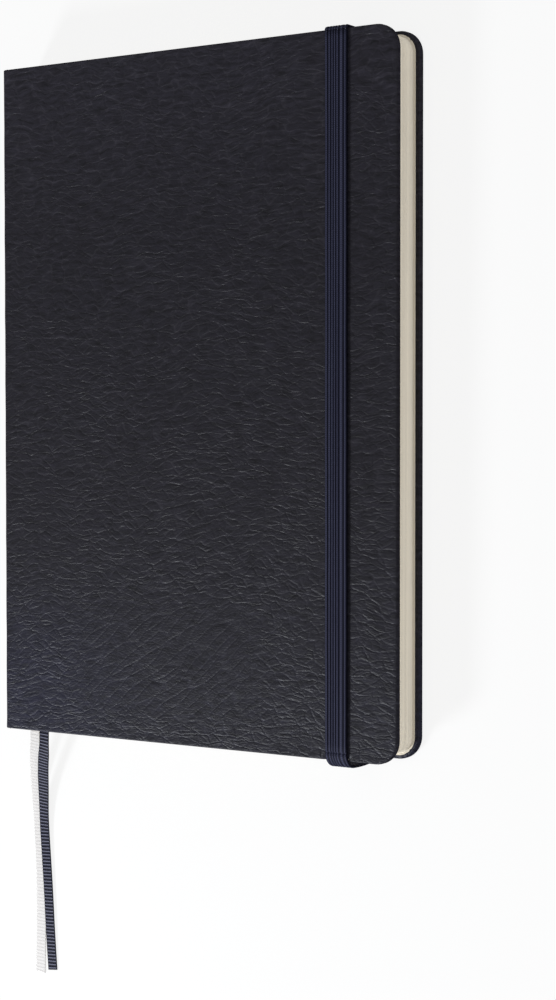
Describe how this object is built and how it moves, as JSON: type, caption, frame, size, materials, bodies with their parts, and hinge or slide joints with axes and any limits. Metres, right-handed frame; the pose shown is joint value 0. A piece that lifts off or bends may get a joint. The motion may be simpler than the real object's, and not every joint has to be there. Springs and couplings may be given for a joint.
{
  "type": "pilot logbook",
  "caption": "Hard-covered pilot logbook with a sewn page block, leather-grain covers, an elastic closure and two ribbon markers.",
  "frame": {"origin": "middle of the back cover's outer face, which the closed book lies on", "axes": "+X from the spine to the fore-edge, +Y from the tail to the head, +Z out of the front cover"},
  "size_m": [0.1458, 0.2927, 0.016],
  "materials": {
    "cover_leather": "matte pebbled grain",
    "greyboard": "matte",
    "infill_card": "matte",
    "endpaper": "matte",
    "page_paper": "matte",
    "linen_thread": "matte",
    "mull_cloth": "matte",
    "kraft_lining": "matte",
    "band_cloth": "matte",
    "light_ribbon": "ribbed satin",
    "navy_ribbon": "ribbed satin",
    "navy_elastic": "ribbed matte"
  },
  "bodies": {
    "book_block_and_back": {"back_leather": "cover_leather", "back_board": "greyboard", "back_infill": "infill_card", "back_pastedown": "endpaper", "back_flyleaf": "endpaper", "section_01": "page_paper", "section_02": "page_paper", "section_03": "page_paper", "section_04": "page_paper", "section_05": "page_paper", "section_06": "page_paper", "section_07": "page_paper", "section_08": "page_paper", "section_09": "page_paper", "section_10": "page_paper", "front_endpaper_tip": "endpaper", "sewing_thread": "linen_thread", "spine_mull": "mull_cloth", "spine_lining": "kraft_lining", "head_band": "band_cloth", "tail_band": "band_cloth", "light_ribbon_held": "light_ribbon", "light_ribbon_tail": "light_ribbon", "navy_ribbon_held": "navy_ribbon", "navy_ribbon_tail": "navy_ribbon", "elastic_anchor_head": "navy_elastic", "elastic_anchor_tail": "navy_elastic"},
    "spine": {"spine_leather": "cover_leather", "spine_board": "greyboard", "rear_joint_leather": "cover_leather", "front_joint_leather": "cover_leather"},
    "front_cover": {"front_leather": "cover_leather", "front_board": "greyboard", "front_infill": "infill_card", "front_pastedown": "endpaper"},
    "front_flyleaf": {"front_flyleaf": "endpaper"},
    "elastic": {"elastic_band": "navy_elastic"}
  },
  "joints": [
    {"name": "rear_joint", "type": "hinge", "parent": "book_block_and_back", "child": "spine", "pos_m": [-0.0703, 0, 0.0022], "axis": [0, -1, 0], "range_deg": [0, 90], "deforming": ["rear_joint_leather"]},
    {"name": "front_joint", "type": "hinge", "parent": "spine", "child": "front_cover", "pos_m": [-0.0703, 0, 0.0129], "axis": [0, -1, 0], "range_deg": [0, 90], "deforming": ["front_joint_leather"]},
    {"name": "flyleaf_turn", "type": "hinge", "parent": "book_block_and_back", "child": "front_flyleaf", "pos_m": [-0.0664, 0, 0.01285], "axis": [0, -1, 0], "range_deg": [0, 184]},
    {"name": "elastic_swing", "type": "hinge", "parent": "book_block_and_back", "child": "elastic", "pos_m": [0.0526, 0, 0.0005], "axis": [0, 1, 0], "range_deg": [0, 180], "deforming": ["elastic_band"]}
  ],
  "couplings": [
    {"joint": "front_joint", "follows": "rear_joint", "ratio": 1},
    {"joint": "flyleaf_turn", "follows": "rear_joint", "ratio": 2.04}
  ]
}
